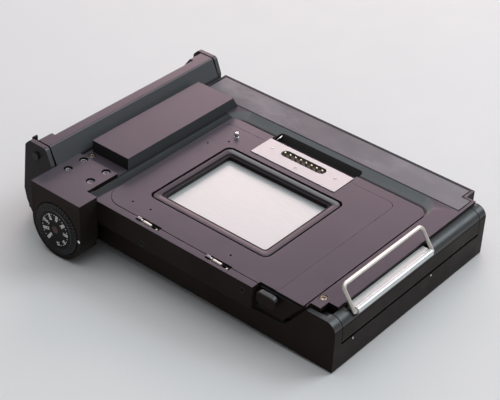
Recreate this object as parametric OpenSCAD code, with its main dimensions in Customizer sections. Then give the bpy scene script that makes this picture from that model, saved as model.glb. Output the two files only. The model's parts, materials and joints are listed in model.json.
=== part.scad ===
// Instant pack-film back for a modular medium format camera.
// It lies on its film door, with the side that meets the camera facing up.
// Lengths are millimetres and X runs along the dark slide, towards its handle.
// Heights are written from the face of the interface plate, and seat() puts the
// origin at the middle of the footprint, on the surface that the back rests on.

/* [Film holder] */
// Width of the film holder, over both side walls
holder_w = 108.2; // [104:0.2:114]
// How far the holder's centre line lies from the middle of the gate
holder_off = 14; // [12:0.5:16]
// From the middle of the gate to the hinge end
holder_right = 79.2; // [77:0.2:84]
// From the middle of the gate to the roller end
holder_left = 91.5; // [89:0.5:97]
// Thickness of the side walls
wall_t = 2.5; // [1.8:0.1:3.5]
// Depth of the holder's upper shell under the adapter
shell_h = 3.9; // [3.5:0.1:6]
// Thickness of the upper shell's roof
roof_t = 3; // [2:0.1:3.4]
// Depth of the film door
door_h = 11; // [9:0.2:16]
// Thickness of the film door's panel
door_t = 2.4; // [1.8:0.1:3.5]
// Gap where the door meets the shell
door_gap = 0.3; // [0.3:0.05:0.8]
// Height of the groove round that gap, on the outside
groove_h = 2.1; // [1.2:0.1:2.4]
// Depth of that groove
groove_d = 1.2; // [0.6:0.1:1.4]
// How far the hump over the rollers stands out of the door
hump_h = 6.3; // [3:0.1:8]
// Length of that hump
hump_l = 13; // [10:0.5:18]
// Radius of the hinge end's upper edge
end_r = 5; // [4.5:0.1:5.2]
// Length of the body's hinge knuckle
knuckle_w = 98; // [90:1:99]
// Radius of the hinge pin
hinge_pin_r = 1.25; // [0.8:0.05:1.6]

/* [Adapter] */
// Thickness of the adapter under the interface plane
adapter_h = 10; // [9:0.2:13]
// From the middle of the gate to the near wall
near_y = 44.9; // [43.8:0.1:47]
// From the middle of the gate to the far wall
far_y = 73; // [71:0.2:76]
// From the middle of the gate to the edge beside the slide handle
right_x = 73.9; // [73:0.1:75]
// From the middle of the gate to the edge beside the roller housing
left_x = 75.2; // [74:0.1:75.4]
// Height of the surround above the interface plane
rim_z = 0.6; // [0.3:0.1:1.2]
// Depth of the channel round the interface plane
moat_d = 1.2; // [0.6:0.1:1.5]
// Width of the sloped far bank
far_bank = 8; // [5:0.2:10]
// Width of the sloped bank beside the slide handle
right_bank = 0.8; // [0.4:0.1:1]
// Height of the smooth bank beside the long raised block
cove_rise = 1.2; // [0.8:0.1:1.6]
// How far the near wall laps down over the holder's side
wall_lap = 1.2; // [0.6:0.1:2.4]

/* [Interface plate] */
// Thickness of the inset plate
plate_t = 1.2; // [0.8:0.1:1.6]
// Length of the inset plate
plate_l = 96.4; // [92:0.2:97]
// Width of the inset plate
plate_w = 82.5; // [78:0.5:84]
// Gap round inset pieces
seam = 0.12; // [0.08:0.02:0.25]
// Gap round the bezel
bezel_gap = 0.5; // [0.1:0.1:0.6]
// Length of the image gate
gate_l = 56.5; // [54:0.5:58]
// Width of the image gate
gate_w = 43; // [41:0.5:44]
// Length of the bezel round the gate
bezel_l = 66.2; // [64:0.2:68]
// Width of the bezel round the gate
bezel_w = 53.6; // [51:0.2:54]
// How far the bezel lies under the plate
bezel_drop = 0.15; // [0.1:0.05:0.3]
// Thickness of the bezel
bezel_t = 2.05; // [1.7:0.05:2.1]
// Radius of the locating pin
locating_r = 1.05; // [0.8:0.05:1.6]
// Height of the locating pin over the plate
locating_h = 2.2; // [1.5:0.1:3]
// Radius of the locating pin's shank in the frame
shank_r = 1.25; // [1.2:0.05:1.8]

/* [Contacts] */
// Length of the contact plate
contact_l = 47.4; // [40:0.2:48]
// Width of the contact plate
contact_w = 14.4; // [12:0.2:15]
// Thickness of the contact plate
contact_t = 0.8; // [0.5:0.05:1]
// How many contact pins stand in the slot
pin_count = 8; // [4:1:8]
// Spacing of the contact pins
pin_pitch = 3; // [2.6:0.1:3.1]
// Radius of a contact pin
pin_r = 0.55; // [0.4:0.05:0.7]
// Height of the contact pins over the plane
pin_h = 0.9; // [0.7:0.05:1.2]
// How far a contact pin can be pushed in
pin_travel = 0.7; // [0.4:0.05:0.9]

/* [Dark slide] */
// Thickness of the slide's sheet
slide_t = 0.4; // [0.3:0.05:0.5]
// Width of the slide's sheet
slide_w = 51.2; // [50:0.2:52]
// Level of the sheet's upper face, under the interface plane
slide_z = 3; // [2.9:0.05:3.2]
// Clearance on each side of the sheet
slide_fit = 0.1; // [0.05:0.01:0.1]
// Radius of the folded hem round the handle wire
hem_r = 1.6; // [1.4:0.05:1.8]
// Radius of the handle's wire
wire_r = 0.85; // [0.7:0.05:0.95]
// Height of the wire handle
handle_h = 11.8; // [8:0.2:14]
// Width of the wire handle, wire centre to wire centre
handle_w = 54.2; // [53.8:0.1:54.6]
// How far the standing handle leans over the plate
handle_lean = 35; // [0:1:40]

/* [Roller end] */
// Height of the roller housing over the interface plane
bar_h = 10.2; // [8:0.2:12]
// Width of the roller housing's flat top
bar_top = 5.4; // [4:0.2:6]
// Radius of the spreader rollers
roller_r = 3; // [2.4:0.1:3.1]
// Radius of the rollers' journals
journal_r = 1.5; // [1:0.1:1.8]
// Gap between the rollers, for the film
nip = 0.2; // [0.1:0.05:0.4]
// Thickness of the roller bracket's sheet
bracket_t = 1.2; // [0.8:0.1:1.6]
// Thickness of the locking yoke's arms
arm_t = 2.2; // [1.6:0.1:2.6]
// Radius of the yoke's rivets
rivet_r = 1.5; // [1:0.1:1.8]
// Radius of the rivets' heads
rivet_head_r = 1.9; // [1.9:0.1:3]

/* [Raised blocks] */
// Length of the long raised block
block_l = 70.8; // [60:0.2:72]
// Width of the long raised block
block_w = 21.9; // [18:0.1:22]
// Height of the long raised block
block_h = 6; // [4:0.2:8]
// Width of the dial housing
dial_box_w = 29.7; // [28:0.1:30]
// How far the dial housing stands out of the near wall
dial_box_out = 10.6; // [9:0.1:13]
// Height of the dial housing over the interface plane
dial_box_h = 2.1; // [1.5:0.1:3]
// Level of the dial's axis, under the interface plane
dial_z = 16.6; // [16:0.1:17.5]
// Radius of the film speed dial
dial_r = 12.5; // [10:0.1:13]
// Thickness of the dial
dial_t = 2.6; // [2:0.1:3]
// How far the dial stands out of its housing
dial_out = 0.8; // [0.4:0.1:1.5]
// How many ribs the dial's rim has
dial_ribs = 48; // [24:2:60]
// Radius of the dial's shaft
shaft_r = 3; // [2:0.1:4]

/* [Fits] */
// Radial clearance of turning and sliding fits
running_fit = 0.05; // [0.02:0.01:0.1]
// Gap between pieces that move past each other
air = 0.4; // [0.3:0.05:0.6]

/* [Hidden] */
$fn = 48;
eps = 0.01;

// Holder
side_near = holder_off - holder_w / 2;
side_far = holder_off + holder_w / 2;
shell_top = -adapter_h;
shell_low = shell_top - shell_h;
door_top = shell_low - door_gap;
door_low = door_top - door_h;
hump_low = door_low - hump_h;
knuckle_near = holder_off - knuckle_w / 2;
knuckle_far = holder_off + knuckle_w / 2;
hinge_x = holder_right - end_r;
end_top = -1.2;
hinge_z = end_top - end_r;
ear_left = hinge_x - end_r;
groove_top = (shell_low + door_top + groove_h) / 2;
groove_low = (shell_low + door_top - groove_h) / 2;
web_left = 53.6;
web_run = 11;
web_gap = 2;
corner_top = -1.8;
pocket_low = -4.4;
end_block_x = 65;
nose_r = hinge_z - shell_low + 0.6;
pin_near = side_near + 1.3;
chamber_left = -72;
field_edge = 8;
field_r = 3;
field_d = 0.5;
spring_w = 12;
spring_spread = 28;
mask_rim = 15;
mask_gap = 1.1;
mask_t = 0.4;
edge_r = 1;

// Roller end
housing_right = -left_x - 0.4;
housing_low = -6;
bar_x = housing_right - 4.1 - bar_top;
roller_x = -84.5;
film_z = shell_top - 2.4;
upper_z = film_z + nip / 2 + roller_r;
lower_z = film_z - nip / 2 - roller_r;
roller_inset = 4.8;
bracket_left = 4;
bracket_right = 4.6;
bracket_drop = 3.6;
strap_h = 1.7;
roller_near = side_near + wall_t + roller_inset;
roller_far = side_far - wall_t - roller_inset;
arm_near = side_near - air;
arm_far = side_far + air;
yoke_x = -holder_left - 1.7;
yoke_t = 1.5;
arm_round = 2;
pivot_x = -85.2;
pivot_z = 4.3;

// Adapter
moat_right = 63.2;
moat_far = 47.2;
moat_left = -46;
bank_left = -50.8;
corner_r = 5.5;
bank_r = 9;
moat_gap = 0.3;
cove_left = bank_left + 0.5;
cove_foot = -46.8;
cove_lip = 1.1;
cove_far = 46.2;
cove_r = (pow(cove_foot - cove_left, 2) + pow(cove_rise, 2)) / (2 * cove_rise);
step_w = 6.4;
step_l = 4.6;
strip_edge = 1.2;
wall_end = 40.7;
lip_end = 64.3;
lip_y = side_near + 0.1;
lip_t = 0.6;
dial_x = -60.65;
dial_box_left = dial_x - dial_box_w / 2;
dial_box_right = dial_x + dial_box_w / 2;
dial_box_near = -near_y - dial_box_out;
foot_far = -26;
foot_right = -51.9;
dial_slot_w = 1.1;
dot_r = 0.75;
dot_x = dial_box_right - (dial_box_w / 2 - dial_r - air) / 2;

// Interface plate
plate_x = 1.4;
plate_r = 4;
soft_r = 10;
gate_r = 1.3;
bezel_r = 3.4;
contact_x = 0.6;
contact_y = 37.3;
contact_z = 0.3;
slot_y = 39.3;
slot_r = 2.5;
slot_l = 24.6;
pin_x = 0.1;
contact_low = -8.8;
pin_spot = [-35.8, 35.1];
pit_far = 52.2;
pit_z = 5;
pit_r = 2;
pocket_z = 3.6;
catch_x = [-18.7, 20.1];
catch_l = 13;

// Dark slide
slide_low = -slide_z - slide_t;
slide_left = -gate_l / 2 - 3.2;
notch_half = handle_w / 2 + wire_r + air;
wire_x = holder_right - 0.8;
wire_z = -slide_z + 0.8;
notch_z = wire_z - hem_r - air;
trap_x = 50;
trap_l = 6;
trap_t = 0.8;

// Release button and screws
button_x = 46.9;
button_z = -4;
button_r = 1.6;
button_l = 9.8;
button_w = 6;
screw_r = 1.55;
thread_r = 0.8;
plate_screw_spot = [65.9, -31];
corner_screw_spot = [-71.8, -22];
plate_screw_low = -2.9;

// Footprint, for the origin
mid_x = (holder_right + 0.8 + yoke_x - yoke_t) / 2;
mid_y = (far_y + dial_box_near - dial_out) / 2;
low_z = min(hump_low, -dial_z - dial_box_w / 2);

// Placing and simple forms

module seat() {
    translate([-mid_x, -mid_y, -low_z]) children();
}

module box(x0, x1, y0, y1, z0, z1) {
    translate([x0, y0, z0]) cube([x1 - x0, y1 - y0, z1 - z0]);
}

module rod_y(x, z, y0, y1, r) {
    translate([x, y0, z]) rotate([-90, 0, 0]) cylinder(r = r, h = y1 - y0);
}

module rod_z(x, y, z0, z1, r) {
    translate([x, y, z0]) cylinder(r = r, h = z1 - z0);
}

module round_rect(x0, x1, y0, y1, r) {
    translate([x0 + r, y0]) square([x1 - x0 - 2 * r, y1 - y0]);
    translate([x0, y0 + r]) square([x1 - x0, y1 - y0 - 2 * r]);
    for (x = [x0 + r, x1 - r], y = [y0 + r, y1 - r]) {
        translate([x, y]) circle(r = r);
    }
}

module slab(x0, x1, y0, y1, r, z0, z1) {
    translate([0, 0, z0]) linear_extrude(z1 - z0) round_rect(x0, x1, y0, y1, r);
}

function unit(v) = v / norm(v);

// Points of a closed outline whose corners are rounded to radius r
function rounded(pts, r, steps = 4) = [
    for (i = [0 : len(pts) - 1])
        let (
            here = pts[i],
            back = unit(pts[(i + len(pts) - 1) % len(pts)] - here),
            ahead = unit(pts[(i + 1) % len(pts)] - here),
            half = acos(back * ahead) / 2,
            middle = here + unit(back + ahead) * r / sin(half),
            from = here + back * r / tan(half) - middle,
            to = here + ahead * r / tan(half) - middle,
            turn = 180 - 2 * half
        )
        for (k = [0 : steps])
            middle + (sin(turn - turn * k / steps) * from + sin(turn * k / steps) * to) / sin(turn)
];

// A profile drawn in X and Z, carried along Y from y0 to y1
module along_y(y0, y1) {
    translate([0, y1, 0]) rotate([90, 0, 0]) linear_extrude(y1 - y0) children();
}

// Film holder

module holder_body() {
    color([0.10, 0.10, 0.11]) seat() difference() {
        union() {
            box(-holder_left, ear_left - air, side_near, side_far, shell_low, shell_top);
            box(end_block_x, hinge_x, knuckle_near, knuckle_far, shell_low, end_top);
            rod_y(hinge_x, hinge_z, knuckle_near, knuckle_far, end_r);
            hinge_nose();
            box(wall_end + seam, ear_left, side_near, side_near + wall_t, shell_low, corner_top);
            box(end_block_x, hinge_x - end_r / 2, side_far - wall_t, side_far, shell_low, end_top);
            roller_cheeks();
        }
        ear_sweep(side_near - 1, knuckle_near);
        ear_sweep(knuckle_far, side_far + 1);
        web_room();
        ear_pocket();
        parting_groove(shell_low - 1, groove_top);
        button_bore();
        chamber_roof_cut();
        box(end_block_x - 1, holder_right + 1, -notch_half, notch_half, notch_z, 1);
        roller_bay_cut();
        rod_y(hinge_x, hinge_z, side_near - 1, side_far + 1, hinge_pin_r + running_fit);
        rod_z(plate_screw_spot[0], plate_screw_spot[1], plate_screw_low - 0.2, 1, thread_r + seam);
        slab(-gate_l / 2 - 1, gate_l / 2 + 1, -gate_w / 2 - 1, gate_w / 2 + 1, 2,
            shell_low - 1, 1);
    }
}

// The end face over the door, rounded below about the hinge so that the door clears it
module hinge_nose() {
    intersection() {
        box(hinge_x, holder_right, knuckle_near, knuckle_far, shell_low, hinge_z);
        rod_y(hinge_x, hinge_z, knuckle_near, knuckle_far, nose_r);
    }
}

// Room for a door ear, closed and opening
module ear_sweep(y0, y1) {
    rod_y(hinge_x, hinge_z, y0, y1, end_r + air);
    box(ear_left - air, holder_right + 1, y0, y1, shell_low - 1, hinge_z);
}

// Room for the sloped web that carries the near ear
module web_room() {
    x = web_left - web_gap;
    along_y(side_near - 1, side_near + wall_t + air) polygon([
        [x, groove_low],
        [x + web_run, end_top],
        [x + web_run, 1],
        [hinge_x, 1],
        [hinge_x, groove_low]
    ]);
}

// Deep corner behind the near ear
module ear_pocket() {
    box(ear_left - 1, hinge_x - 0.5, knuckle_near - 1, knuckle_near + 3, pocket_low, end_top + 1);
}

// Groove along both sides where the door meets the holder
module parting_groove(z0, z1) {
    for (y = [side_near - 1, side_far - groove_d]) {
        box(-holder_left - 1, holder_right + 1, y, y + groove_d + 1, z0, z1);
    }
}

module roller_cheeks() {
    box(-holder_left, housing_right, side_near, side_far, shell_low, housing_low);
}

// The film pack lies under this roof
module chamber_roof_cut() {
    box(chamber_left, end_block_x - wall_t, side_near + wall_t, side_far - wall_t,
        shell_low - 1, shell_top - roof_t);
}

// The rollers hang in this bay, and the film leaves through its end
module roller_bay_cut() {
    box(-holder_left + 2, chamber_left + 1, side_near + wall_t, side_far - wall_t,
        shell_low - 1, shell_top - 0.6);
    box(-holder_left + 2, housing_right - 1.5, side_near + wall_t, side_far - wall_t,
        shell_low - 1, housing_low + 1);
    box(-holder_left - 1, -holder_left + 3, side_near + wall_t + 2, side_far - wall_t - 2,
        shell_low - 1, film_z + 1.6);
}

module film_door() {
    inner_near = side_near + wall_t;
    inner_far = side_far - wall_t;
    color([0.10, 0.10, 0.11]) seat() difference() {
        union() {
            difference() {
                box(-holder_left, holder_right, side_near, side_far, door_low, door_top);
                parting_groove(groove_low, door_top + 1);
            }
            box(holder_right - wall_t, holder_right, side_near, side_far, groove_low - 1, hinge_z - end_r);
            door_hump();
            door_ear(side_near, knuckle_near - door_gap);
            door_ear(knuckle_far + door_gap, side_far);
            ear_web();
        }
        box(chamber_left, holder_right - wall_t, inner_near, inner_far,
            door_low + door_t, door_top + 1);
        box(-holder_left + 2, chamber_left - 1.5, inner_near, inner_far,
            door_low + door_t, door_top + 1);
        box(-holder_left + 2.6, chamber_left - 4, inner_near, inner_far,
            door_low - hump_h / 2, door_top + 1);
        rod_y(hinge_x, hinge_z, pin_near - 0.2, side_far + 1, hinge_pin_r + running_fit);
        rod_y(hinge_x, hinge_z, knuckle_near - door_gap, knuckle_far + door_gap, nose_r + air);
        door_panel();
    }
}

// Shallow sunk field on the outside of the door
module door_panel() {
    slab(-holder_left + hump_l + field_edge, holder_right - field_edge, side_near + field_edge,
        side_far - field_edge, field_r, door_low - 1, door_low + field_d);
}

// The thicker end that clears the lower roller, also the foot at this end
module door_hump() {
    x0 = -holder_left + 0.8;
    x1 = x0 + hump_l;
    along_y(side_near + 1.5, side_far - 1.5) polygon(rounded([
        [x0, door_low + 2],
        [x0, door_low - hump_h],
        [x1, door_low - hump_h],
        [x1 + hump_h, door_low],
        [x1 + hump_h, door_low + 2]
    ], 0.9));
}

module door_ear(y0, y1) {
    rod_y(hinge_x, hinge_z, y0, y1, end_r);
    box(ear_left, holder_right, y0, y1, groove_low - eps, hinge_z);
}

// The door's near side rises in a slope to its ear
module ear_web() {
    along_y(side_near, side_near + wall_t) polygon([
        [web_left, groove_low - eps],
        [web_left + web_run, end_top],
        [hinge_x, end_top],
        [hinge_x, groove_low - eps]
    ]);
}

// Driven in from the far side, so that the near ear stays plain
module door_hinge_pin() {
    color([0.55, 0.56, 0.58]) seat()
        rod_y(hinge_x, hinge_z, pin_near, side_far - 0.2, hinge_pin_r);
}

// Two sprung strips that press the film pack up to the mask
module pack_springs() {
    root_x = -52;
    floor_z = door_low + door_t;
    color([0.70, 0.71, 0.73]) seat() for (side = [-1, 1]) {
        y = holder_off + side * spring_spread - spring_w / 2;
        along_y(y, y + spring_w) polygon([
            [root_x, floor_z],
            [root_x + 14, floor_z],
            [root_x + 46, floor_z + 3.4],
            [root_x + 62, floor_z + 2.4],
            [root_x + 62, floor_z + 3],
            [root_x + 46, floor_z + 4],
            [root_x + 14, floor_z + 0.6],
            [root_x, floor_z + 0.6]
        ]);
        rod_z(root_x + 7, y + spring_w / 2, floor_z + 0.5, floor_z + 1.2, 2);
    }
}

// Thin frame in the roof of the film chamber that the film lies against
module film_mask() {
    z1 = shell_top - roof_t;
    color([0.30, 0.31, 0.32]) seat() difference() {
        slab(-gate_l / 2 - mask_rim, gate_l / 2 + mask_rim, side_near + wall_t + mask_gap,
            gate_w / 2 + mask_rim, 3, z1 - mask_t, z1);
        slab(-gate_l / 2, gate_l / 2, -gate_w / 2, gate_w / 2, gate_r, z1 - 1, z1 + 1);
    }
}

// Roller end

module roller_housing() {
    boss = 8;
    y0 = side_near + air;
    y1 = side_far - air;
    color([0.13, 0.14, 0.15]) seat() difference() {
        union() {
            along_y(y0, y1) housing_profile(0);
            along_y(y0, y0 + boss) housing_profile(2);
            along_y(y1 - boss, y1) housing_profile(2);
        }
        rod_y(pivot_x, pivot_z, y0 - 1, y0 + 6, rivet_r + running_fit);
        rod_y(pivot_x, pivot_z, y1 - 6, y1 + 1, rivet_r + running_fit);
    }
}

module housing_profile(extra) {
    polygon(rounded([
        [bar_x - extra, bar_h],
        [bar_x + bar_top, bar_h],
        [housing_right, 1.8],
        [housing_right, housing_low],
        [-holder_left, housing_low],
        [-holder_left, 0.8],
        [bar_x - extra - 4, 4.6]
    ], edge_r));
}

module roller_bracket() {
    x0 = roller_x - bracket_left;
    x1 = roller_x + bracket_right;
    z0 = lower_z - bracket_drop;
    z1 = housing_low;
    plate_y = [roller_near - air - bracket_t, roller_far + air];
    color([0.62, 0.63, 0.65]) seat() difference() {
        union() {
            for (y = plate_y) {
                along_y(y, y + bracket_t) bracket_profile(x0, x1, z0, z1);
            }
            box(x1 - bracket_t, x1, plate_y[0], plate_y[1] + bracket_t, z1 - strap_h, z1);
        }
        for (z = [upper_z, lower_z]) {
            rod_y(roller_x, z, plate_y[0] - 1, plate_y[1] + 3, journal_r + running_fit);
        }
    }
}

module bracket_profile(x0, x1, z0, z1) {
    polygon([
        [x0, z0 + 2],
        [x0 + 2, z0],
        [x1 - 2, z0],
        [x1, z0 + 2],
        [x1, z1],
        [x0, z1]
    ]);
}

module spreader_roller(z) {
    reach = air + bracket_t;
    color([0.80, 0.81, 0.83]) seat() {
        rod_y(roller_x, z, roller_near, roller_far, roller_r);
        rod_y(roller_x, z, roller_near - reach, roller_near + 1, journal_r);
        rod_y(roller_x, z, roller_far - 1, roller_far + reach, journal_r);
    }
}

module upper_roller() {
    spreader_roller(upper_z);
}

module lower_roller() {
    spreader_roller(lower_z);
}

// Its arms hang on rivets in the housing's ends, and its end strap lies
// over the end of the closed door
module locking_yoke() {
    strap_top = -15.5;
    strap_low = -29;
    color([0.12, 0.12, 0.13]) seat() difference() {
        union() {
            along_y(arm_near - arm_t, arm_near) arm_profile();
            along_y(arm_far, arm_far + arm_t) arm_profile();
            box(yoke_x - yoke_t, yoke_x, arm_near - eps, arm_far + eps, strap_low, strap_top);
        }
        rod_y(pivot_x, pivot_z, arm_near - arm_t - 1, arm_near + 1, rivet_r + running_fit);
        rod_y(pivot_x, pivot_z, arm_far - 1, arm_far + arm_t + 1, rivet_r + running_fit);
    }
}

module arm_profile() {
    left = yoke_x - yoke_t;
    right = housing_right - 0.6;
    polygon(rounded([
        [left + 2.3, 7.4],
        [left + 5, bar_h],
        [right - 3.2, bar_h],
        [right, 2.2],
        [right - 0.2, -12],
        [right - 6, -29],
        [left + 4.6, -29],
        [left + 1.4, -23],
        [left, -17]
    ], arm_round));
}

module yoke_rivets() {
    head_t = 1;
    hold = 5;
    color([0.16, 0.16, 0.17]) seat() {
        y0 = arm_near - arm_t - running_fit;
        y1 = arm_far + arm_t + running_fit;
        rod_y(pivot_x, pivot_z, y0, side_near + hold, rivet_r);
        rod_y(pivot_x, pivot_z, y0 - head_t, y0, rivet_head_r);
        rod_y(pivot_x, pivot_z, side_far - hold, y1, rivet_r);
        rod_y(pivot_x, pivot_z, y1, y1 + head_t, rivet_head_r);
    }
}

// Adapter

module interface_frame() {
    color([0.15, 0.14, 0.15]) seat() difference() {
        union() {
            difference() {
                translate([0, 0, -adapter_h]) linear_extrude(adapter_h + rim_z) frame_outline();
                banked_dish();
            }
            island();
            left_bank();
            near_skirt();
        }
        frame_light_path();
        frame_contact_cuts();
        frame_near_cuts();
        frame_end_cuts();
        strip_seat();
    }
}

module frame_outline() {
    step_y = far_y - step_w;
    difference() {
        union() {
            translate([-left_x, foot_far + seam]) square([left_x + right_x, step_y - foot_far - seam]);
            translate([-left_x, step_y - 1]) square([left_x + right_x - step_l, far_y - step_y + 1]);
            translate([foot_right + seam, -near_y]) square([right_x - foot_right - seam, near_y]);
        }
        outline_notch(wall_end, lip_y);
        outline_notch(lip_end, side_near + wall_t + air);
        outline_notch(ear_left, knuckle_near + 3);
    }
}

// Cut of the outline from x to the right, as far back as y
module outline_notch(x, y) {
    translate([x, y - 20]) square([40, 20]);
}

// Recess with sloped banks round the interface plane
module banked_dish() {
    hull() {
        slab(moat_left, moat_right, -near_y - 20, moat_far, corner_r, -moat_d, -moat_d + eps, $fn = 32);
        slab(bank_left, moat_right + right_bank, -near_y - 20, moat_far + far_bank,
            bank_r, rim_z, rim_z + eps, $fn = 32);
    }
}

module island() {
    difference() {
        slab(moat_left - 2.6, moat_right - moat_gap, -near_y - corner_r, moat_far - moat_gap,
            corner_r, -moat_d - 1, 0);
        box(moat_left - 10, moat_right, -near_y - 20, -near_y, -5, 2);
        box(wall_end, moat_right, -near_y - 1, lip_y, -5, 2);
    }
}

// Bank beside the long raised block, hollowed in a smooth curve
module left_bank() {
    difference() {
        box(cove_left - cove_lip, cove_foot + eps, -near_y, cove_far, -moat_d - 1, cove_rise);
        rod_y(cove_foot, cove_r, -near_y - 1, cove_far + 1, cove_r);
    }
}

// The wall's lower part laps over the holder's side
module near_skirt() {
    box(dial_box_right + seam, wall_end, -near_y, side_near - seam, -adapter_h - wall_lap,
        -adapter_h + 1);
}

module frame_light_path() {
    slab(-gate_l / 2, gate_l / 2, -gate_w / 2, gate_w / 2, gate_r, -adapter_h - 1, 1);
    slab(-bezel_l / 2, bezel_l / 2, -bezel_w / 2, bezel_w / 2, bezel_r,
        -bezel_drop - bezel_t, 1);
    box(slide_left - 0.3, end_block_x, -slide_w / 2 - slide_fit, slide_w / 2 + slide_fit,
        slide_low - slide_fit, -slide_z + slide_fit);
    trap_strips();
    translate([0, 0, -plate_t]) linear_extrude(plate_t + 1) plate_outline(seam);
}

// Outline of the inset plate, with one corner rounder than the others
module plate_outline(grow) {
    x0 = plate_x - plate_l / 2 - grow;
    y0 = -plate_w / 2 - grow;
    difference() {
        round_rect(x0, plate_x + plate_l / 2 + grow, y0, plate_w / 2 + grow, plate_r);
        difference() {
            translate([x0 - 1, y0 - 1]) square(soft_r + 1);
            translate([x0 + soft_r, y0 + soft_r]) circle(r = soft_r);
        }
    }
}

module frame_contact_cuts() {
    slab(contact_x - contact_l / 2 - seam, contact_x + contact_l / 2 + seam,
        contact_y - contact_w / 2 - seam, contact_y + contact_w / 2 + seam, 0.4,
        contact_z - contact_t, 1);
    slab(contact_x - contact_l / 2, contact_x + contact_l / 2, contact_y,
        pit_far, pit_r, -pit_z, contact_z - contact_t);
    slab(contact_x - contact_l / 2, contact_x + contact_l / 2,
        contact_y + contact_w / 2, pit_far, pit_r, -pit_z, 2);
    contact_block_form(seam, 0);
    rod_z(pin_spot[0], pin_spot[1], -4, 1, shank_r + seam / 4);
}

module frame_near_cuts() {
    box(wall_end, lip_end + 1, side_near - 1, side_near + wall_t + air, -adapter_h - 1, -lip_t);
    box(bank_left - 1.1, cove_left - cove_lip, foot_far, cove_far, -moat_d, 2);
    box(foot_right + seam, foot_right + seam + dial_slot_w, -near_y + 3,
        foot_far - 1, -3, 2);
    for (x = catch_x) {
        box(x - catch_l / 2, x + catch_l / 2, -near_y + 1.8, -near_y + 4.4, -pocket_z, 1);
    }
    button_bore();
    for (spot = side_screw_spots()) {
        translate([spot[0], -near_y, spot[1]]) rotate([-90, 0, 0]) {
            translate([0, 0, -1]) cylinder(r = screw_r + seam, h = 1.6);
            cylinder(r = thread_r + seam, h = 3);
        }
    }
    for (spot = top_screw_spots()) {
        rod_z(spot[0], spot[1], rim_z - 1.5, 2, screw_r + seam);
        rod_z(spot[0], spot[1], plate_screw_low - 0.1, 2, thread_r + seam);
    }
}

// Room for the hinge end and for the slide's way out
module frame_end_cuts() {
    x0 = end_block_x - seam;
    box(x0, holder_right, side_near - 1, -notch_half + seam, -adapter_h - 1, end_top);
    box(x0, holder_right, notch_half - seam, side_far + 1, -adapter_h - 1, end_top);
    box(x0, holder_right, -notch_half, notch_half, -adapter_h - 1, -slide_z + slide_fit);
    rod_y(hinge_x, hinge_z, side_near - 1, knuckle_near, end_r + air);
    rod_y(hinge_x, hinge_z, knuckle_far, side_far + 1, end_r + air);
}

module strip_seat() {
    translate([0, 0, rim_z - 0.5]) linear_extrude(2) strip_outline(seam);
}

module strip_outline(grow) {
    y0 = moat_far + far_bank - grow;
    y1 = far_y - strip_edge + grow;
    x0 = -left_x + strip_edge - grow;
    x1 = right_x - strip_edge + grow;
    translate([x0, y0]) square([x1 - x0, y1 - step_w - y0]);
    translate([x0, y0]) square([x1 - step_l - x0, y1 - y0]);
}

module side_strip() {
    color([0.42, 0.41, 0.43]) seat()
        translate([0, 0, rim_z - 0.5]) linear_extrude(0.6) strip_outline(0);
}

// Interface plate and gate

module interface_plate() {
    color([0.17, 0.15, 0.16]) seat() difference() {
        translate([0, 0, -plate_t]) linear_extrude(plate_t) plate_outline(0);
        slab(-bezel_l / 2, bezel_l / 2, -bezel_w / 2, bezel_w / 2, bezel_r, -plate_t - 1, 1);
        slab(contact_x - contact_l / 2 - seam, contact_x + contact_l / 2 + seam,
            contact_y - contact_w / 2 - seam, contact_y + contact_w / 2 + seam, 0.4,
            -plate_t - 1, 1);
        rod_z(pin_spot[0], pin_spot[1], -4, 1, shank_r + seam / 4);
        box(wall_end, lip_end, -near_y - 1, lip_y, -plate_t - 1, 1);
        box(wall_end, lip_end, -near_y - 1, side_near + wall_t + air, -plate_t - 1, -lip_t);
        for (x = catch_x) {
            box(x - catch_l / 2, x + catch_l / 2, -near_y, -near_y + 4.4, -4, 1);
        }
        for (hole = [[-34.6, -34.6], [-25, -33.8], [20.8, -34.8], [-41.8, 21.9], [-35.6, 29.3]]) {
            rod_z(hole[0], hole[1], -4, 1, 0.5);
        }
    }
}

module gate_bezel() {
    z1 = -bezel_drop;
    color([0.16, 0.15, 0.16]) seat() difference() {
        slab(-bezel_l / 2 + bezel_gap, bezel_l / 2 - bezel_gap, -bezel_w / 2 + bezel_gap,
            bezel_w / 2 - bezel_gap, bezel_r - bezel_gap, z1 - bezel_t, z1);
        slab(-gate_l / 2, gate_l / 2, -gate_w / 2, gate_w / 2, gate_r, z1 - 3, z1 + 1);
    }
}

module locating_pin() {
    color([0.80, 0.80, 0.82]) seat() {
        rod_z(pin_spot[0], pin_spot[1], -3.8, 0, shank_r);
        rod_z(pin_spot[0], pin_spot[1], -eps, locating_h - 0.3, locating_r);
        translate([pin_spot[0], pin_spot[1], locating_h - 0.3])
            cylinder(r1 = locating_r, r2 = locating_r - 0.3, h = 0.3);
    }
}

// Contacts

module contact_plate() {
    color([0.82, 0.78, 0.79]) seat() difference() {
        slab(contact_x - contact_l / 2, contact_x + contact_l / 2, contact_y - contact_w / 2,
            contact_y + contact_w / 2, 0.4, contact_z - contact_t, contact_z);
        slab(pin_x - slot_l / 2, pin_x + slot_l / 2, slot_y - slot_r, slot_y + slot_r,
            slot_r - eps, -2, 2);
        for (spot = contact_rivet_spots()) {
            rod_z(spot[0], spot[1], -2, 2, 0.7);
        }
    }
}

function contact_rivet_spots() = [[-17.5, 38.6], [0.2, 33], [18.2, 38.8]];

module contact_rivets() {
    color([0.78, 0.75, 0.76]) seat() for (spot = contact_rivet_spots()) {
        rod_z(spot[0], spot[1], contact_z - contact_t, contact_z + 0.05, 0.68);
    }
}

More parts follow.
